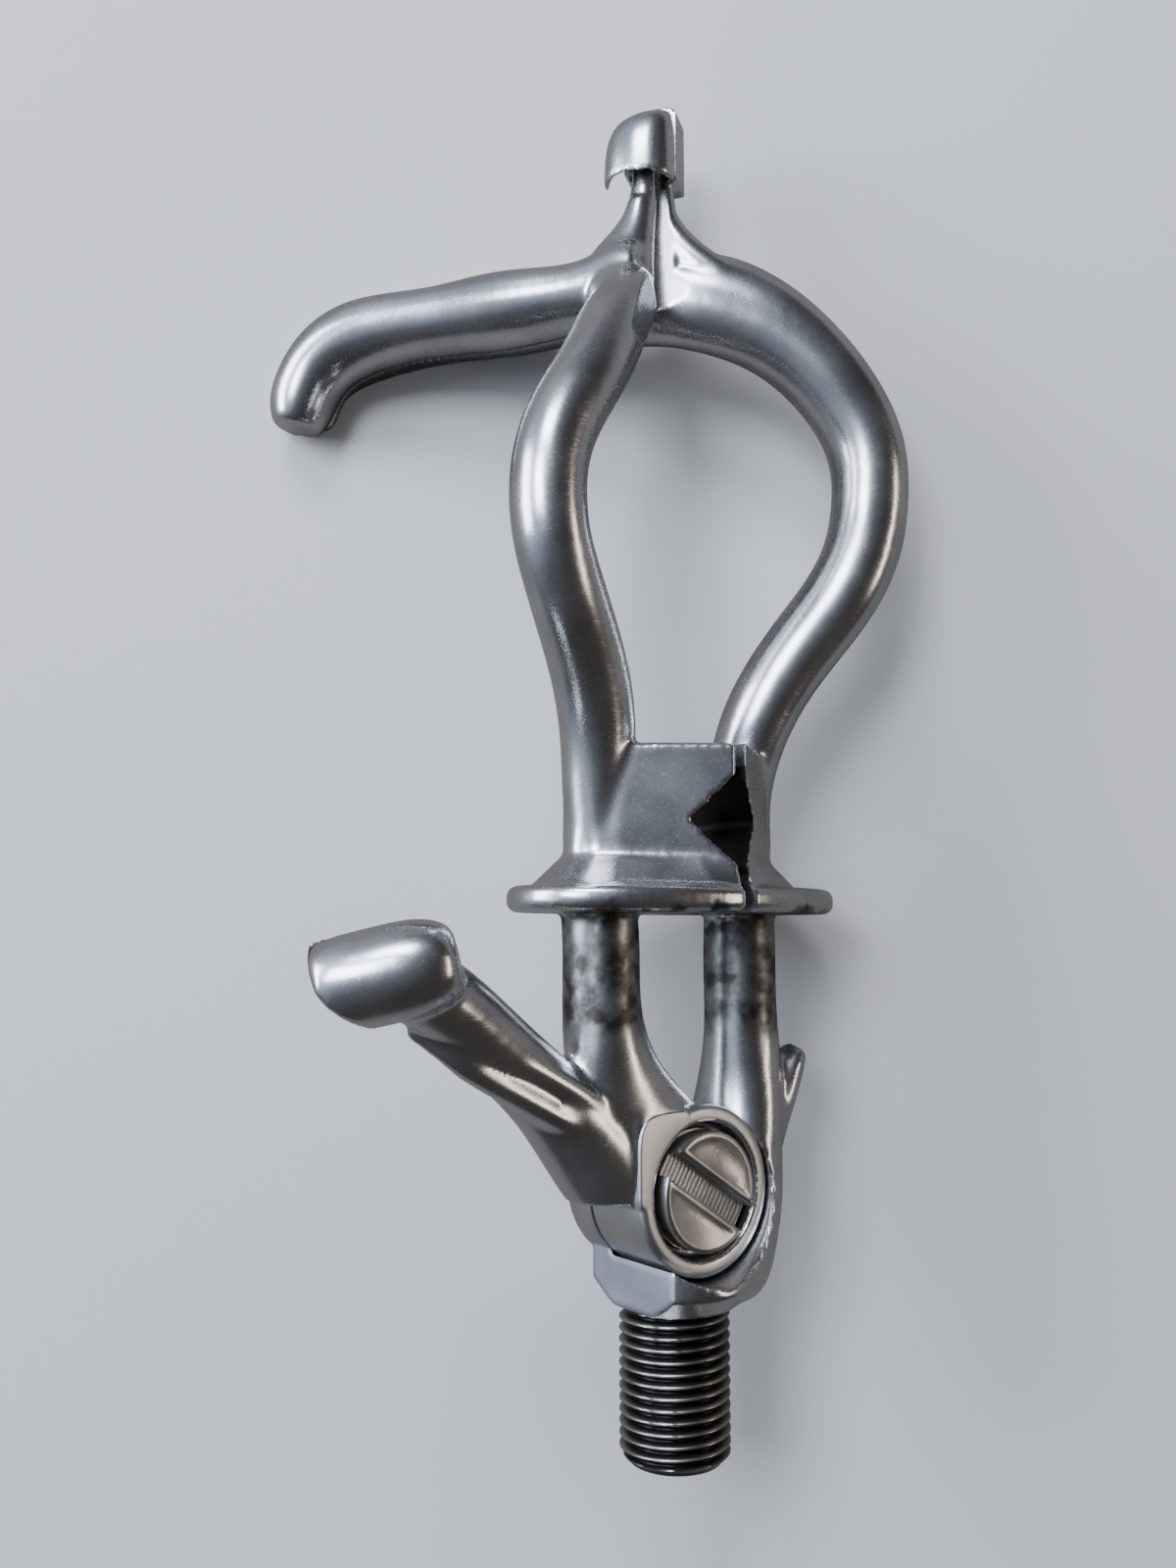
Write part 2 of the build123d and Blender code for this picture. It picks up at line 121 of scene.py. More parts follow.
def steel(
    name, base, dark, rough_low, rough_high, scratch=0.5, grain=0.0, grain_scale=900.0, grime=None, root=None
):
    """Bare steel with cloudy roughness and three families of fine scratches.

    grain adds a blasted texture, grime = (low, high, strength) dirt between two heights,
    and root = (inner, outer) painted shade in the thread roots that clears between two radii round Z.
    """
    material, tree, shader = nodes_of(name)
    new, link = tree.nodes.new, tree.links.new
    where = new("ShaderNodeTexCoord").outputs["Object"]

    def textured(scale, stretch=None, turn=(0, 0, 0), detail=3.0):
        noise_node = new("ShaderNodeTexNoise")
        noise_node.inputs["Scale"].default_value = scale
        noise_node.inputs["Detail"].default_value = detail
        if stretch:
            mapping = new("ShaderNodeMapping")
            mapping.inputs["Rotation"].default_value = turn
            mapping.inputs["Scale"].default_value = stretch
            link(where, mapping.inputs["Vector"])
            link(mapping.outputs["Vector"], noise_node.inputs["Vector"])
        else:
            link(where, noise_node.inputs["Vector"])
        return noise_node.outputs["Fac"]

    def ramp(value, stops):
        node = new("ShaderNodeValToRGB")
        link(value, node.inputs["Fac"])
        while len(node.color_ramp.elements) < len(stops):
            node.color_ramp.elements.new(0.5)
        for element, (at, level) in zip(node.color_ramp.elements, stops):
            element.position = at
            element.color = (level, level, level, 1)
        return node.outputs["Color"]

    def maths(operation, a, b):
        node = new("ShaderNodeMath")
        node.operation = operation
        for socket, value in zip(node.inputs, (a, b)):
            if isinstance(value, (int, float)):
                socket.default_value = value
            else:
                link(value, socket)
        return node.outputs[0]

    def mapped(value, low, high, start=0.0, end=1.0, smooth=False):
        node = new("ShaderNodeMapRange")
        if smooth:
            node.interpolation_type = "SMOOTHSTEP"
        link(value, node.inputs["Value"])
        node.inputs["From Min"].default_value = low
        node.inputs["From Max"].default_value = high
        node.inputs["To Min"].default_value = start
        node.inputs["To Max"].default_value = end
        return node.outputs[0]

    def mixed(factor, a, b):
        node = new("ShaderNodeMix")
        node.data_type = "RGBA"
        link(factor, node.inputs["Factor"])
        for socket, colour in (("A", a), ("B", b)):
            if isinstance(colour, tuple):
                node.inputs[socket].default_value = (*colour, 1)
            else:
                link(colour, node.inputs[socket])
        return node.outputs["Result"]

    def times_plus(value, factor, offset):
        out = maths("MULTIPLY_ADD", value, factor)
        out.node.inputs[2].default_value = offset
        return out

    cloud = textured(160.0, detail=4.0)
    fine = textured(700.0, detail=2.0)
    lines = None
    for turn, stretch in (
        ((0.5, 0.2, 0.4), (260.0, 5200.0, 5200.0)),
        ((-0.6, 0.9, 1.3), (300.0, 4300.0, 4300.0)),
        ((1.2, -0.5, 2.3), (240.0, 6100.0, 6100.0)),
    ):
        one = ramp(textured(1.0, stretch, turn, 1.0), [(0.66, 0.0), (0.74, 1.0)])
        lines = one if lines is None else maths("MAXIMUM", lines, one)
    rough = times_plus(cloud, rough_high - rough_low, rough_low)
    rough = maths("ADD", rough, maths("MULTIPLY", lines, 0.06 * scratch))
    colour = mixed(ramp(cloud, [(0.30, 0.0), (0.62, 1.0)]), dark, base)
    if grime or root:
        place = new("ShaderNodeSeparateXYZ")
        link(where, place.inputs[0])
        x, y, z = place.outputs
    if grime:
        low, high, strength = grime
        height = maths("ADD", z, times_plus(textured(260.0, detail=5.0), 0.010, -0.005))
        above = mapped(height, low, low + 0.004, smooth=True)
        below = mapped(height, high, high + 0.0012, 1.0, 0.0, smooth=True)
        beside = mapped(maths("ABSOLUTE", x, 0.0), 0.0155, 0.0185, 1.0, 0.0)
        patch = ramp(textured(420.0, detail=6.0), [(0.34, 0.55), (0.60, 1.0)])
        dirt = maths("MULTIPLY", maths("MULTIPLY", above, below), beside)
        dirt = maths("MULTIPLY", maths("MULTIPLY", dirt, patch), strength)
        colour = mixed(dirt, colour, (0.055, 0.050, 0.045))
        rough = maths("ADD", rough, maths("MULTIPLY", dirt, 0.16))
    if root:
        # painted shade: thread roots inside the inner radius go near black, clearing by the outer radius
        across = maths("SQRT", maths("ADD", maths("MULTIPLY", x, x), maths("MULTIPLY", y, y)), 0.0)
        colour = mixed(mapped(across, *root), (0.020, 0.019, 0.018), colour)
    link(colour, shader.inputs["Base Color"])
    link(rough, shader.inputs["Roughness"])
    shader.inputs["Metallic"].default_value = 1.0
    height = maths("MULTIPLY", lines, -0.2 * scratch)
    height = maths("ADD", height, maths("MULTIPLY", fine, 0.25))
    height = maths("ADD", height, maths("MULTIPLY", cloud, 0.8))
    if grain:
        height = maths("ADD", height, maths("MULTIPLY", textured(grain_scale * 4, detail=2.0), grain))
    bump = new("ShaderNodeBump")
    bump.inputs["Distance"].default_value = 0.000008
    bump.inputs["Strength"].default_value = 1.0
    link(height, bump.inputs["Height"])
    link(bump.outputs["Normal"], shader.inputs["Normal"])
    return material


polished = steel(
    "polished_casting", (0.68, 0.68, 0.70), (0.56, 0.56, 0.58), 0.17, 0.31, scratch=1.1,
    grime=(GRIME_LOW * MM, GRIME_HIGH * MM, 0.97),
)
# near-black material for the bore, notch and knob-slot walls: painted shade, with some grease
shade_and_grease = steel("painted_shade_and_grease", (0.060, 0.056, 0.050), (0.030, 0.028, 0.026), 0.35, 0.55, scratch=0.2)
machined = steel("machined_band", (0.66, 0.66, 0.66), (0.54, 0.54, 0.54), 0.30, 0.42, scratch=0.6, grain=1.2)
blasted = steel(
    "blasted_flat", (0.42, 0.43, 0.48), (0.34, 0.35, 0.40), 0.50, 0.62, scratch=0.2, grain=6.0,
    grain_scale=1100,
)
# thread roots get painted shade through root
thread = steel(
    "oiled_thread_with_root_shade", (0.46, 0.44, 0.42), (0.28, 0.27, 0.26), 0.24, 0.40, scratch=0.3, root=(0.00560, 0.00625)
)
screw = steel("screw_head", (0.60, 0.595, 0.57), (0.36, 0.35, 0.33), 0.24, 0.38, scratch=0.9, grain=2.0)
ground = steel("ground_bearing", (0.66, 0.66, 0.67), (0.56, 0.56, 0.57), 0.12, 0.20, scratch=0.2)
pressed = steel("pressed_cage", (0.56, 0.54, 0.50), (0.46, 0.44, 0.41), 0.26, 0.36, scratch=0.3)


# ---------------------------------------------------------------- mesh helpers
def link_mesh(name, mesh, material):
    piece = bpy.data.objects.new(name, mesh)
    bpy.context.scene.collection.objects.link(piece)
    piece.data.materials.clear()
    piece.data.materials.append(material)
    return piece


def shade(piece, angle=40.0):
    """Smooth shading with creases sharper than the angle kept."""
    mesh = piece.data
    mesh.polygons.foreach_set("use_smooth", [True] * len(mesh.polygons))
    mesh.set_sharp_from_angle(angle=math.radians(angle))
    return piece


def mesh_from(name, bm):
    """Mesh made from a bmesh, with its faces turned outward."""
    bmesh.ops.recalc_face_normals(bm, faces=bm.faces)
    mesh = bpy.data.meshes.new(name)
    bm.to_mesh(mesh)
    bm.free()
    return mesh


def bridge(bm, one, two):
    """Closed band of quads between two loops with the same number of points."""
    for k in range(len(one)):
        n = (k + 1) % len(one)
        bm.faces.new((one[k], one[n], two[n], two[k]))


def turned(name, profile, centre_z, steps, material, angle=32.0):
    """Closed profile of (radius, y) in mm, turned about the pivot axis."""
    bm = bmesh.new()
    rings = []
    for i in range(steps):
        a = 2 * math.pi * i / steps
        ring = []
        for radius, y in profile:
            co = (radius * math.cos(a), y, centre_z + radius * math.sin(a))
            ring.append(bm.verts.new([c * MM for c in co]))
        rings.append(ring)
    for i in range(steps):
        bridge(bm, rings[i], rings[(i + 1) % steps])
    bmesh.ops.remove_doubles(bm, verts=bm.verts, dist=1e-7)
    return shade(link_mesh(name, mesh_from(name, bm), material), angle)


def rounded(corners, radius, steps=3):
    """Closed profile whose corners get small arcs; a corner may carry its own radius as a third value."""
    out = []
    count = len(corners)
    for i, corner in enumerate(corners):
        here = np.array(corner[:2], float)
        r = corner[2] if len(corner) > 2 else radius
        before = np.array(corners[i - 1][:2], float) - here
        after = np.array(corners[(i + 1) % count][:2], float) - here
        lb, la = np.linalg.norm(before), np.linalg.norm(after)
        reach = min(r, lb * 0.45, la * 0.45)
        if reach < 1e-6:
            out.append(tuple(here))
            continue
        p, q = here + before / lb * reach, here + after / la * reach
        for k in range(steps + 1):
            t = k / steps
            out.append(tuple((1 - t) ** 2 * p + 2 * t * (1 - t) * here + t * t * q))
    return out


def tube_into(bm, path, radii, sides=20):
    """Closed tube with flat end caps through points in mm, added to a bmesh in metres."""
    points = [Vector(p) for p in path]
    rings = []
    for i, (point, radius) in enumerate(zip(points, radii)):
        ahead = (points[min(i + 1, len(points) - 1)] - points[max(i - 1, 0)]).normalized()
        side = ahead.orthogonal().normalized() if not rings else (side - ahead * side.dot(ahead)).normalized()
        other = ahead.cross(side)
        rings.append([
            bm.verts.new((point + (side * math.cos(a) + other * math.sin(a)) * radius) * MM)
            for a in (2 * math.pi * k / sides for k in range(sides))
        ])
    for one, two in zip(rings, rings[1:]):
        bridge(bm, one, two)
    bm.faces.new(list(reversed(rings[0])))
    bm.faces.new(rings[-1])


def smooth_between(path, steps):
    """Catmull-Rom points through a path of tuples of any length."""
    p = np.array(path, float)
    p = np.vstack([2 * p[0] - p[1], p, 2 * p[-1] - p[-2]])
    out = []
    for i in range(1, len(p) - 2):
        for k in range(steps):
            t = k / steps
            out.append(
                0.5 * (
                    2 * p[i] + (p[i + 1] - p[i - 1]) * t
                    + (2 * p[i - 1] - 5 * p[i] + 4 * p[i + 1] - p[i + 2]) * t * t
                    + (3 * p[i] - p[i - 1] - 3 * p[i + 1] + p[i + 2]) * t ** 3
                )
            )
    out.append(p[-2])
    return out


def polish(mesh, weight, rounds, shrink=0.60, grow=-0.612):
    """Volume-keeping smoothing (alternating shrink and grow), scaled by a weight for each vertex."""
    count = len(mesh.vertices)
    co = np.empty(count * 3, np.float32)
    mesh.vertices.foreach_get("co", co)
    co = co.reshape(-1, 3).astype(np.float64)
    edges = np.empty(len(mesh.edges) * 2, np.int32)
    mesh.edges.foreach_get("vertices", edges)
    a, b = edges[0::2], edges[1::2]
    degree = np.bincount(a, minlength=count) + np.bincount(b, minlength=count)
    degree = np.maximum(degree, 1)
    w = weight(co / MM)[:, None]
    for _ in range(rounds):
        for step in (shrink, grow):
            total = np.empty_like(co)
            for k in range(3):
                total[:, k] = np.bincount(a, co[b, k], count) + np.bincount(b, co[a, k], count)
            co += step * w * (total / degree[:, None] - co)
    return co


def near(value, middle, inner, outer):
    """1 where |value - middle| < inner, falling to 0 at outer."""
    return np.clip((outer - np.abs(value - middle)) / (outer - inner), 0, 1)


def casting_weight(sign):
    """How strongly each point of a finger is smoothed; crisp machined places get little."""

    def weight(p):
        x, y, z = p[:, 0], p[:, 1], p[:, 2]
        v = x * FACE[0] + y * FACE[1] - PARTING
        u = x * BAR[0] + y * BAR[1]
        from_pivot = np.hypot(x, z - PIVOT_Z)
        keep = np.zeros(len(p))
        keep = np.maximum(keep, 0.92 * near(v, 0, 0.35, 1.0) * (z > 101))
        keep = np.maximum(keep, 0.95 * near(x, 0, 1.3, 2.4) * (z > 43) * (z < 66))
        keep = np.maximum(keep, 0.90 * near(z, NOTCH_Z, 7.0, 8.6) * (np.abs(x) < 7.0))
        keep = np.maximum(keep, 0.75 * near(z, PLATE_TOP_Z, 0.9, 1.8) * (np.abs(x) < 8.0))
        rim = np.hypot((x - FLANGE_X) / FLANGE_HALF_X, y / FLANGE_HALF_Y) > 0.86
        keep = np.maximum(keep, 0.50 * near(z, FLANGE_Z, 1.6, 2.4) * rim)
        keep = np.maximum(keep, 0.80 * near(z, 139.0, 8.0, 10.0))
        if sign < 0:
            ring = (from_pivot < 11.2) & (y < -4.3) & (x > -11) & (z > 12.0)
            keep = np.maximum(keep, 0.9 * ring)
            keep = np.maximum(keep, 0.95 * ((z < 13.6) & (from_pivot < 14)))
            knob = (p - np.array(KNOB)) @ np.array([VIEW_RIGHT, VIEW_UP, VIEW_AHEAD]).T
            cheeks = near(knob[:, 2], 2.0, 1.0, 1.8) * (knob[:, 0] < 1.0) * (x < -34)
            keep = np.maximum(keep, 0.88 * cheeks)
            keep = np.maximum(keep, 0.60 * (near(x, -9.3, 1.2, 2.2) * (z > 24) * (z < 44) * (y < -3)))
        else:
            beside_boss = near(from_pivot, BOSS_R + 0.4, 0.7, 1.3) * (y > -10) * (y < 4.4)
            keep = np.maximum(keep, 0.95 * beside_boss)
            keep = np.maximum(keep, 0.95 * ((z < 7.5) & (x < 2.5)))
            keep = np.maximum(keep, 0.95 * ((y > 3.2) & (from_pivot < 10.2)))
        return 1 - keep

    return weight


def finish_index(p, n, sign):
    """0 polished, 1 slot and notch walls in painted shade with some grease, 2 blasted wrench flat."""
    x, y, z = p[:, 0], p[:, 1], p[:, 2]
    # notch walls and knob slot walls get the near-black material: painted shade where shadow falls in these
    # gaps, with some grease in the notch
    notch = (np.abs(x) < 5.4) & (z > 48.8) & (z < 61.2) & (n[:, 0] * sign < -0.35)
    notch |= (np.abs(x) < 0.5) & (z > 43.0) & (z < 63.4) & (n[:, 0] * sign < -0.6)
    knob = (p - np.array(KNOB)) @ np.array([VIEW_RIGHT, VIEW_UP, VIEW_AHEAD]).T
    slot = (knob[:, 2] > 1.0) & (knob[:, 2] < 3.1) & (knob[:, 0] < 0.8) & (x < -34) & (z < 44)
    slot &= (np.abs(n @ np.array(VIEW_AHEAD)) > 0.6) | (knob[:, 2] < 2.4) & (knob[:, 2] > 1.6)
    flat = (sign > 0) & (x < -FLAT_X + 0.12) & (z < 8.5) & (n[:, 0] < -0.85)
    return np.where(notch | slot, 1, np.where(flat, 2, 0)).astype(np.int32)


def skin(name, node, sign, extras, cutters=(), voxel=0.00034, rounds=90):
    """Blended casting made from the CAD finger: added ridges, one closed voxel mesh, then polishing."""
    bm = bmesh.new()
    bm.from_mesh(nodes[node].data)
    bmesh.ops.remove_doubles(bm, verts=bm.verts, dist=2e-6)
    extras(bm)
    piece = link_mesh(name, mesh_from(name, bm), polished)
    tools = []
    if cutters:
        union_first = piece.modifiers.new("close", "REMESH")
        union_first.mode = "VOXEL"
        union_first.voxel_size = voxel * 0.8
    for cutter in cutters:
        tools.append(link_mesh(name + "_cutter", cutter, polished))
        cut = piece.modifiers.new("cut", "BOOLEAN")
        cut.operation = "DIFFERENCE"
        cut.solver = "EXACT"
        cut.object = tools[-1]
    remesh = piece.modifiers.new("remesh", "REMESH")
    remesh.mode = "VOXEL"
    remesh.voxel_size = voxel
    remesh.adaptivity = 0
    depsgraph = bpy.context.evaluated_depsgraph_get()
    done = bpy.data.meshes.new_from_object(piece.evaluated_get(depsgraph))
    piece.modifiers.clear()
    piece.data = done
    for tool in tools:
        bpy.data.objects.remove(tool)
    co = polish(done, casting_weight(sign), rounds)
    done.vertices.foreach_set("co", co.astype(np.float32).ravel())
    done.update()
    done.materials.clear()
    for finish in (polished, shade_and_grease, blasted):
        done.materials.append(finish)
    centres = np.empty(len(done.polygons) * 3)
    done.polygons.foreach_get("center", centres)
    normals = np.empty(len(done.polygons) * 3)
    done.polygons.foreach_get("normal", normals)
    finishes = finish_index(centres.reshape(-1, 3) / MM, normals.reshape(-1, 3), sign)
    done.polygons.foreach_set("material_index", finishes)
    return shade(piece, 42.0)


# ---------------------------------------------------------------- castings
def by_view(right, up, ahead):
    """Point in mm beside the thumb knob's middle, along the camera's right, up and viewing directions."""
    return tuple(KNOB + VIEW_RIGHT * right + VIEW_UP * up + VIEW_AHEAD * ahead)


def prism_into(bm, bottom, top):
    """Closed prism between two matching outlines of points in mm."""
    low = [bm.verts.new(Vector(p) * MM) for p in bottom]
    high = [bm.verts.new(Vector(p) * MM) for p in top]
    bridge(bm, low, high)
    bm.faces.new(list(reversed(low)))
    bm.faces.new(high)


def claw_cap(grow, floor_z):
    """Closed thimble shape of the near claw above floor_z; grow is an offset in mm."""
    bm = bmesh.new()
    around, up = 30, 12
    columns = []
    for i in range(around + 1):
        t = i / around
        a = math.pi * t
        u = 2.15 - (4.35 + grow) * math.cos(a)
        v = 0.25 - min(grow, 0) * 0.6 + (4.35 + grow) * max(math.sin(a), 0) ** 0.62
        heart_u = -1.5 + 4.3 * t
        heart_v = 0.25 - min(grow, 0) * 0.6
        height = (9.3 - 1.3 * t ** 2) + grow + (CLAW_FOOT_Z - floor_z)
        column = []
        for k in range(up + 1):
            b = 0.5 * math.pi * k / up
            flat, rise = math.cos(b) ** 0.55, math.sin(b) ** 0.72
            column.append(bm.verts.new(Vector(from_parting(
                heart_u + (u - heart_u) * flat, heart_v + (v - heart_v) * flat, floor_z + height * rise
            )) * MM))
        columns.append(column)
    for one, two in zip(columns, columns[1:]):
        for k in range(up):
            bm.faces.new((one[k], two[k], two[k + 1], one[k + 1]))
    bmesh.ops.remove_doubles(bm, verts=bm.verts, dist=2e-6)
    bmesh.ops.holes_fill(bm, edges=[e for e in bm.edges if e.is_boundary], sides=0)
    bmesh.ops.triangulate(bm, faces=[f for f in bm.faces if len(f.verts) > 4])
    return mesh_from("claw_cap", bm)


def carved(mesh, cutter):
    """Exact difference of two closed meshes, as a new mesh."""
    body = bpy.data.objects.new("carve_body", mesh)
    tool = bpy.data.objects.new("carve_tool", cutter)
    for o in (body, tool):
        bpy.context.scene.collection.objects.link(o)
    cut = body.modifiers.new("cut", "BOOLEAN")
    cut.operation = "DIFFERENCE"
    cut.solver = "EXACT"
    cut.object = tool
    depsgraph = bpy.context.evaluated_depsgraph_get()
    result = bpy.data.meshes.new_from_object(body.evaluated_get(depsgraph))
    for o in (body, tool):
        bpy.data.objects.remove(o)
    return result


def movable_extras(bm):
    """Claw cap on its stem, ridges on the thumb arm and neck, and the knob's far cheek."""
    everything = list(bm.verts) + list(bm.edges) + list(bm.faces)
    cut_at = Vector((0, 0, CLAW_CUT_Z * MM))
    bmesh.ops.bisect_plane(
        bm, geom=everything, plane_co=cut_at, plane_no=(0, 0, 1), clear_outer=True, dist=1e-7
    )
    bmesh.ops.holes_fill(bm, edges=[e for e in bm.edges if e.is_boundary], sides=0)
    bm.from_mesh(carved(claw_cap(0.0, CLAW_FOOT_Z), claw_cap(-1.35, CLAW_FOOT_Z - 1.3)))
    stem = smooth_between([
        (*from_parting(1.8, 1.5, 128.5), 1.7), (*from_parting(1.7, 1.4, 131.0), 1.75),
        (*from_parting(1.5, 1.4, 133.5), 1.5), (*from_parting(1.4, 1.4, 137.0), 1.5),
        (*from_parting(1.3, 1.4, 140.5), 1.6),
    ], 4)
    tube_into(bm, [p[:3] for p in stem], [p[3] for p in stem])
    upper_arm_ridge = [
        (-37.0, -1.4, 36.0), (-31.0, -3.0, 33.2), (-26.0, -3.1, 30.4), (-21.0, -3.0, 27.5),
        (-15.8, -3.0, 24.6), (-10.0, -2.8, 21.4), (-6.0, -2.0, 19.0),
    ]
    lower_arm_ridge = [
        (-36.0, -0.8, 32.4), (-32.0, -2.2, 30.2), (-27.3, -2.6, 27.4), (-22.4, -2.6, 24.8),
        (-17.9, -2.6, 22.4), (-12.0, -2.2, 19.0), (-8.0, -1.4, 16.2),
    ]
    neck_ridge = [
        (-9.4, -3.9, 44.4), (-9.5, -3.9, 37.0), (-9.3, -3.9, 31.6), (-9.2, -4.2, 26.7), (-7.6, -4.6, 23.4),
    ]
    for path, thick in ((upper_arm_ridge, 1.6), (lower_arm_ridge, 1.7), (neck_ridge, 0.7)):
        line = smooth_between(path, 6)
        count = len(line)
        size = [thick * min(1, 0.3 + 3 * min(i, count - 1 - i) / count) for i in range(count)]
        tube_into(bm, line, size, 12)
    cheek = [
        (-7.9, 2.9), (-8.05, 2.2), (-8.0, 0.9), (-7.5, -0.7), (-6.35, -2.4), (-4.5, -4.0), (-2.4, -5.0),
        (-0.4, -5.5), (1.0, -5.2), (2.6, -3.6), (2.6, 2.6), (1.0, 3.5), (-3.0, 3.6), (-6.4, 3.5),
    ]
    near_face = [by_view(x, y, 2.7) for x, y in cheek]
    far_face = [by_view(0.82 * x - 0.18, 0.82 * y - 0.09, 4.5) for x, y in cheek]
    prism_into(bm, near_face, far_face)


def cutter_mesh(outline, front, back):
    """Closed prism in the viewing direction beside the thumb knob."""
    bm = bmesh.new()
    prism_into(bm, [by_view(x, y, front) for x, y in outline], [by_view(x, y, back) for x, y in outline])
    bmesh.ops.triangulate(bm, faces=bm.faces)
    return mesh_from("knob_cutter", bm)


def knob_cutters():
    """What the slot and the oblique ends of its two cheeks take away from the thumb knob."""
    slot = [(-12, -9), (-1.0, -9), (-2.8, -3.2), (-4.6, 1.2), (-5.6, 2.6), (-12, 4.4)]
    near_end = [
        (-12, 5.6), (-7.0, 4.4), (-6.7, 2.6), (-6.6, 0.9), (-5.6, -1.2), (-4.3, -2.6), (-3.0, -3.7),
        (-1.4, -4.7), (1.6, -6.2), (1.6, -10), (-12, -10),
    ]
    far_end = [
        (-12, 5.6), (-7.7, 4.2), (-8.0, 2.4), (-7.9, 0.9), (-7.4, -0.7), (-6.2, -2.4), (-4.4, -3.9),
        (-2.3, -4.9), (-0.3, -5.6), (1.6, -6.2), (1.6, -10), (-12, -10),
    ]
    return [cutter_mesh(slot, 1.3, 2.72), cutter_mesh(near_end, -9.0, 1.32), cutter_mesh(far_end, 2.70, 9.0)]


def fixed_extras(bm):
    """Ridge line cast along the fixed neck."""
    line = smooth_between([(11.6, -3.7, 44.4), (11.6, -3.7, 36.6), (11.7, -3.7, 31.0), (11.9, -3.9, 27.0)], 6)
    tube_into(bm, line, [0.7] * len(line), 12)


movable_skin = skin("movable_finger_skin", "movable_finger", -1, movable_extras, knob_cutters())
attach(movable_skin, "movable_body")
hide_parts("movable_finger")

fixed_skin = skin("fixed_finger_skin", "fixed_finger", 1, fixed_extras)
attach(fixed_skin, "fixed_body")
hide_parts("fixed_finger")


# ---------------------------------------------------------------- serrations of the two gripping faces
def grip_teeth(name, side, rise):
    """Row of upright wedge teeth along a bar, from its lower to its upper edge."""
    along = [7.0, 14.0, 26.0, 36.0, 42.0, 46.0]
    middles = [119.3, 119.1, 119.0, 118.8, 117.4, 113.9]
    halves = [4.5, 4.3, 4.3, 4.5, 4.7, 4.4]
    root, tip = PARTING_GAP + 1.1, PARTING_GAP - 0.02
    bm = bmesh.new()
    for i in range(TOOTH_COUNT):
        u = TOOTH_START + TOOTH_PITCH * (i + 0.5)
        middle = float(np.interp(u, along, middles)) + rise
        half = float(np.interp(u, along, halves)) * 0.86
        loops = []
        for reach, slim in ((-half - 0.12, 0.8), (-half + 0.25, 1.0), (half - 0.25, 1.0), (half + 0.12, 0.8)):
            top = tip + (1 - slim) * 0.9
            outline = [
                (-0.50 * slim, root), (-0.44 * slim, top + 0.38), (-0.08, top),
                (0.08, top), (0.44 * slim, top + 0.38), (0.50 * slim, root),
            ]
            loops.append([
                bm.verts.new(Vector(from_parting(u + du, side * v, middle + reach)) * MM) for du, v in outline
            ])
        for one, two in zip(loops, loops[1:]):
            bridge(bm, one, two)
        bm.faces.new(loops[0])
        bm.faces.new(list(reversed(loops[-1])))
    return shade(link_mesh(name, mesh_from(name, bm), polished), 30.0)


for name, side, rise, body in (
    ("movable_grip_teeth", 1, 0.3, "movable_body"),
    ("fixed_grip_teeth", -1, 1.9, "fixed_body"),
):
    teeth = grip_teeth(name, side, rise)
    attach(teeth, body)


# ---------------------------------------------------------------- turned parts of the pivot
def boss_ring():
    """Machined ring round the screw, whose flat face runs out to a corner beside the thumb arm."""
    bm = bmesh.new()
    steps = 180
    rings = []
    for i in range(steps):
        a = 2 * math.pi * i / steps
        c, s = math.cos(a), math.sin(a)
        reach = BOSS_R + 0.04
        if c < 0 < s:
            reach = max(reach, ((abs(c) / 9.75) ** 7 + (s / 9.15) ** 7) ** (-1 / 7))
        elif c < 0 and s > -0.12:
            reach = max(reach, 9.75 - 2.0 * abs(s))
        edge = 0.85 if reach < BOSS_R + 0.1 else 0.30
        profile = rounded([
            (BORE_R, BORE_FLOOR, 0.05), (BORE_R, BOSS_FRONT - 0.02, 0.60), (reach, BOSS_FRONT - 0.02, edge),
            (reach, -3.6, 0.05), (BOSS_R + 0.04, -3.4, 0.05), (BOSS_R + 0.04, BOSS_REAR, 0.15),
            (6.3, BOSS_REAR - 0.1, 0.05), (6.3, BORE_FLOOR, 0.05),
        ], 0.2, 5)
        rings.append([bm.verts.new(Vector((r * c, y, PIVOT_Z + r * s)) * MM) for r, y in profile])
    for i in range(steps):
        bridge(bm, rings[i], rings[(i + 1) % steps])
    mesh = mesh_from("pivot_boss_ring", bm)
    piece = link_mesh("pivot_boss_ring", mesh, machined)
    # bore wall and floor inside the ring take the near-black material: painted shade, with some dirt
    mesh.materials.append(shade_and_grease)
    for face in mesh.polygons:
        x, y, z = face.center / MM
        if math.hypot(x, z - PIVOT_Z) < BORE_R + 0.06 and y > BOSS_FRONT + 0.75:
            face.material_index = 1
    return shade(piece, 32.0)


boss = boss_ring()
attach(boss, "movable_body")

lug = turned(
    "rear_lug_band",
    rounded([
        (3.3, LUG_FRONT - 0.02, 0.05), (BOSS_R + 0.04, LUG_FRONT - 0.02, 0.15),
        (BOSS_R + 0.04, LUG_REAR + 0.02, 0.5), (3.3, LUG_REAR + 0.02, 0.05),
    ], 0.2, 4),
    PIVOT_Z, 160, machined,
)
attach(lug, "fixed_body")


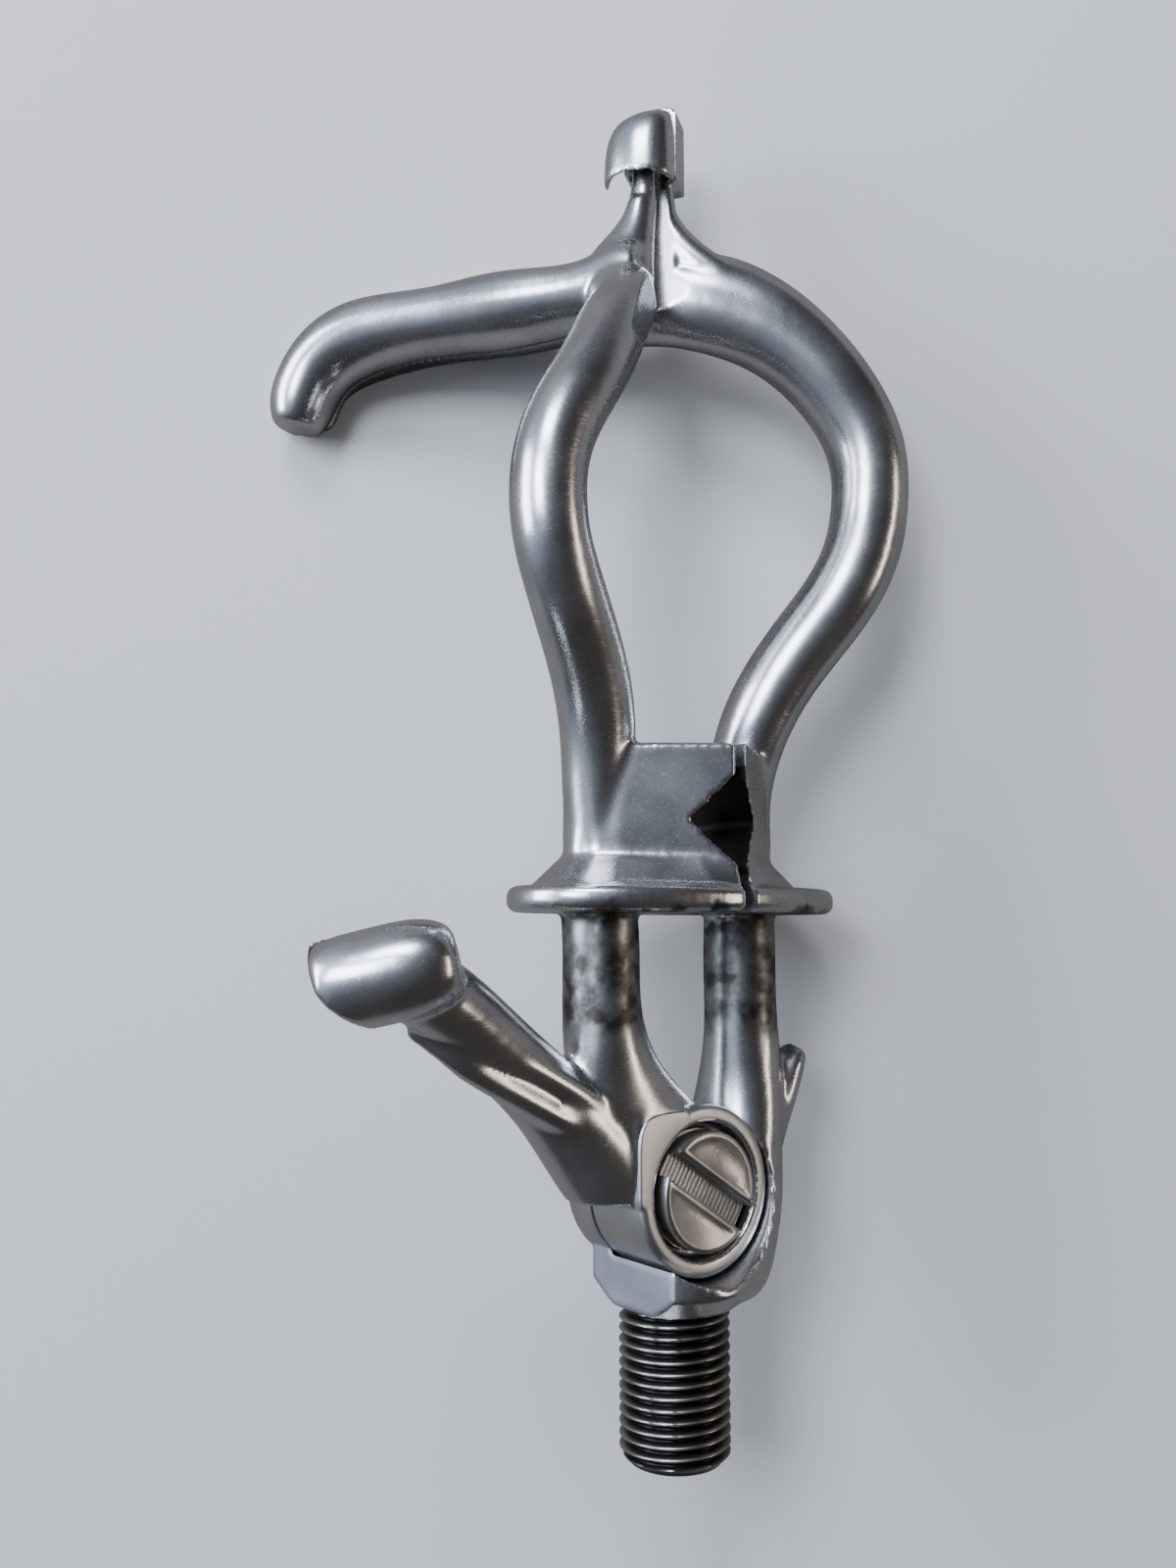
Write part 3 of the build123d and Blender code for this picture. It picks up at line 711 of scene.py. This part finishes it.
# ---------------------------------------------------------------- helical stud
def helical_stud():
    """Right-hand thread with a chamfered end, a centre hole in it and a spigot in the collar."""
    around, along_steps = 72, 14
    turns = STUD_LENGTH / PITCH
    bm = bmesh.new()
    rings = []
    rows = int(turns * along_steps)
    for r in range(rows + 1):
        z = -STUD_LENGTH * r / rows
        ring = []
        for i in range(around):
            a = 2 * math.pi * i / around
            phase = (-z / PITCH + a / (2 * math.pi)) % 1.0
            tooth = abs(phase * 2 - 1)
            depth = min(max((tooth - 0.12) / 0.70, 0), 1)
            depth = depth * depth * (3 - 2 * depth) * 0.35 + depth * 0.65
            radius = STUD_R - (STUD_R - ROOT_R) * depth
            chamfer = STUD_R - max(0.0, -z - (STUD_LENGTH - 1.1)) * 1.0
            start = ROOT_R + (STUD_R - ROOT_R) * min(1, -z / 0.5)
            radius = min(radius, chamfer, start + 0.05)
            ring.append(bm.verts.new((radius * math.cos(a) * MM, radius * math.sin(a) * MM, z * MM)))
        rings.append(ring)
    for one, two in zip(rings, rings[1:]):
        for i in range(around):
            n = (i + 1) % around
            bm.faces.new((one[i], two[i], two[n], one[n]))
    end = rings[-1]
    inner = [bm.verts.new((v.co.x * 0.9, v.co.y * 0.9, v.co.z + 0.00004)) for v in end]
    hole = [bm.verts.new((v.co.x * 0.18, v.co.y * 0.18, v.co.z + 0.00004)) for v in end]
    deep = bm.verts.new((0, 0, end[0].co.z + 0.0010))
    for i in range(around):
        n = (i + 1) % around
        bm.faces.new((end[i], inner[i], inner[n], end[n]))
        bm.faces.new((inner[i], hole[i], hole[n], inner[n]))
        bm.faces.new((hole[i], deep, hole[n]))
    top = [bm.verts.new((v.co.x * 5.0 / ROOT_R, v.co.y * 5.0 / ROOT_R, 0.0)) for v in rings[0]]
    up = [bm.verts.new((v.co.x, v.co.y, 0.0022)) for v in top]
    for i in range(around):
        n = (i + 1) % around
        bm.faces.new((rings[0][i], rings[0][n], top[n], top[i]))
        bm.faces.new((top[i], top[n], up[n], up[i]))
    bm.faces.new(up)
    return shade(link_mesh("threaded_stud_helix", mesh_from("threaded_stud_helix", bm), thread), 50.0)


stud = helical_stud()
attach(stud, "fixed_body")
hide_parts("threaded_stud")


# ---------------------------------------------------------------- slotted screw
def across_slot(along, up):
    """Turn a point of the screw head from the slot's own directions to x and z, in mm."""
    c, s = math.cos(SLOT_ANGLE), math.sin(SLOT_ANGLE)
    return along * c - up * s, PIVOT_Z + along * s + up * c


def half_moon(side, inset):
    """Outline of half the head on one side of the slot, offset inward: an arc, then the chord."""
    radius, chord = HEAD_R - inset, SLOT_HALF + inset
    start = math.asin(chord / radius)
    arc = [start + (math.pi - 2 * start) * k / 40 for k in range(41)]
    points = [(radius * math.cos(a), side * radius * math.sin(a)) for a in arc]
    half_chord = radius * math.cos(start)
    points += [(half_chord * (k / 6 - 1), side * chord) for k in range(1, 12)]
    return [across_slot(along, up) for along, up in points]


def screw_piece():
    """Screw: head with a milled slot and worn rims on both half moons, collar and shank."""
    bm = bmesh.new()
    edge = 0.38
    levels = [
        (HEAD_BACK, 0.0), (HEAD_FRONT + edge, 0.0), (HEAD_FRONT + edge * 0.35, edge * 0.30),
        (HEAD_FRONT, edge), (HEAD_FRONT + 0.02, 0.75), (HEAD_FRONT + 0.12, 1.0),
    ]
    for side in (1, -1):
        loops = []
        for y, inset in levels:
            loops.append([bm.verts.new(Vector((x, y, z)) * MM) for x, z in half_moon(side, inset)])
        for one, two in zip(loops, loops[1:]):
            bridge(bm, one, two)
        bm.faces.new(loops[-1])
        bm.faces.new(list(reversed(loops[0])))
    # milled slot floor: a strip of fine cross ridges
    cells = 150
    floor_y = HEAD_FRONT + SLOT_DEPTH
    rows = []
    for k in range(cells + 1):
        along = -HEAD_R + 0.05 + (2 * HEAD_R - 0.1) * k / cells
        lift = 0.16 * (0.5 + 0.5 * math.cos(2 * math.pi * along / 0.62)) ** 0.6
        half = min(SLOT_HALF + 0.05, math.sqrt(max(HEAD_R ** 2 - along ** 2, 0.04)))
        row = []
        for up, y in ((-half, HEAD_BACK), (-half, floor_y + lift), (half, floor_y + lift), (half, HEAD_BACK)):
            x, z = across_slot(along, up)
            row.append(bm.verts.new(Vector((x, y, z)) * MM))
        rows.append(row)
    for one, two in zip(rows, rows[1:]):
        bridge(bm, one, two)
    bm.faces.new(rows[0])
    bm.faces.new(list(reversed(rows[-1])))
    # collar and shank
    steps = 64
    rings = []
    for radius, y in ((4.2, HEAD_BACK - 0.3), (4.2, -1.7), (3.1, -1.7), (3.1, 7.4), (2.8, 7.7)):
        ring = []
        for i in range(steps):
            a = 2 * math.pi * i / steps
            ring.append(bm.verts.new(Vector((radius * math.cos(a), y, PIVOT_Z + radius * math.sin(a))) * MM))
        rings.append(ring)
    for one, two in zip(rings, rings[1:]):
        bridge(bm, one, two)
    bm.faces.new(rings[0])
    bm.faces.new(list(reversed(rings[-1])))
    return shade(link_mesh("pivot_screw_slotted", mesh_from("pivot_screw_slotted", bm), screw), 30.0)


screw_visual = screw_piece()
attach(screw_visual, "fixed_body")
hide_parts("pivot_screw")

# ---------------------------------------------------------------- CAD nodes that stay
for name, node in nodes.items():
    finish = None
    if name == "bearing_cage":
        finish = pressed
    elif name.startswith("bearing") or name == "pivot_spacer":
        finish = ground
    if finish:
        for slot in node.material_slots:
            slot.material = finish
        if not node.material_slots:
            node.data.materials.append(finish)

# ---------------------------------------------------------------- stage, lights
BOARD_DEPTH = 0.1765
BOARD_HALF = 1.6


def backdrop():
    """Pale board behind the object: seen from its front only, and darker in reflections."""
    middle = CAMERA_AT + VIEW_AHEAD * BOARD_DEPTH
    corners = [
        tuple(middle + VIEW_RIGHT * sx * BOARD_HALF + VIEW_UP * sy * BOARD_HALF)
        for sx, sy in ((-1, -1), (1, -1), (1, 1), (-1, 1))
    ]
    mesh = bpy.data.meshes.new("backdrop")
    mesh.from_pydata(corners, [], [(0, 1, 2, 3)])
    material, tree, shader = nodes_of("pale_board")
    shader.inputs["Base Color"].default_value = (0.74, 0.73, 0.71, 1)
    shader.inputs["Roughness"].default_value = 0.85
    new, link = tree.nodes.new, tree.links.new
    clear = new("ShaderNodeBsdfTransparent")
    dim = new("ShaderNodeBsdfDiffuse")
    dim.inputs["Color"].default_value = (0.20, 0.185, 0.17, 1)
    seen = new("ShaderNodeMixShader")
    link(new("ShaderNodeLightPath").outputs["Is Camera Ray"], seen.inputs["Fac"])
    link(dim.outputs["BSDF"], seen.inputs[1])
    link(shader.outputs["BSDF"], seen.inputs[2])
    mix = new("ShaderNodeMixShader")
    link(new("ShaderNodeNewGeometry").outputs["Backfacing"], mix.inputs["Fac"])
    link(seen.outputs["Shader"], mix.inputs[1])
    link(clear.outputs["BSDF"], mix.inputs[2])
    link(mix.outputs["Shader"], tree.nodes["Material Output"].inputs["Surface"])
    board = link_mesh("backdrop", mesh, material)


backdrop()

world = bpy.data.worlds.new("studio")
bpy.context.scene.world = world
world.use_nodes = True


def studio_world():
    """Even pale surround for the camera; reflections see a room that is lighter toward the window side."""
    tree = world.node_tree
    new, link = tree.nodes.new, tree.links.new
    plain = tree.nodes["Background"]
    plain.inputs["Color"].default_value = (0.70, 0.71, 0.73, 1)
    plain.inputs["Strength"].default_value = 0.8
    room = new("ShaderNodeBackground")
    room.inputs["Strength"].default_value = 1.0
    toward = new("ShaderNodeVectorMath")
    toward.operation = "DOT_PRODUCT"
    link(new("ShaderNodeTexCoord").outputs["Generated"], toward.inputs[0])
    toward.inputs[1].default_value = (-VIEW_RIGHT * 0.80 + VIEW_UP * 0.42 - VIEW_AHEAD * 0.42).normalized()
    glow = new("ShaderNodeValToRGB")
    span = new("ShaderNodeMapRange")
    link(toward.outputs["Value"], span.inputs["Value"])
    span.inputs["From Min"].default_value = -1.0
    link(span.outputs[0], glow.inputs["Fac"])
    stops = [
        (0.0, (0.060, 0.052, 0.046)), (0.45, (0.050, 0.048, 0.048)),
        (0.72, (0.11, 0.12, 0.14)), (0.92, (0.42, 0.48, 0.60)),
    ]
    while len(glow.color_ramp.elements) < len(stops):
        glow.color_ramp.elements.new(0.5)
    for element, (at, colour) in zip(glow.color_ramp.elements, stops):
        element.position = at
        element.color = (*colour, 1)
    link(glow.outputs["Color"], room.inputs["Color"])
    pick = new("ShaderNodeMixShader")
    link(new("ShaderNodeLightPath").outputs["Is Camera Ray"], pick.inputs["Fac"])
    link(room.outputs[0], pick.inputs[1])
    link(plain.outputs[0], pick.inputs[2])
    link(pick.outputs[0], tree.nodes["World Output"].inputs["Surface"])


studio_world()


def softbox(name, right, up, back, width, height, power, colour):
    """Area light at metres right, up and back toward the camera from the object's middle, aimed at it."""
    target = CAMERA_AT + VIEW_AHEAD * 0.165
    data = bpy.data.lights.new(name, "AREA")
    data.shape = "RECTANGLE"
    data.size = width
    data.size_y = height
    data.energy = power
    data.color = colour
    lamp = bpy.data.objects.new(name, data)
    bpy.context.scene.collection.objects.link(lamp)
    lamp.location = target + VIEW_RIGHT * right + VIEW_UP * up - VIEW_AHEAD * back
    lamp.rotation_mode = "QUATERNION"
    lamp.rotation_quaternion = (target - lamp.location).to_track_quat("-Z", "Y")
    return lamp


softbox("window_left", -0.90, 0.30, 0.40, 0.42, 0.70, 11.0, (0.78, 0.87, 1.0))
softbox("window_top", -0.20, 0.85, 0.65, 0.40, 0.30, 6.5, (0.84, 0.90, 1.0))
softbox("window_near", -0.42, 0.42, 0.85, 0.34, 0.40, 7.0, (0.80, 0.88, 1.0))
softbox("fill_right", 0.95, 0.05, 0.30, 0.10, 0.55, 1.2, (1.0, 0.88, 0.76))
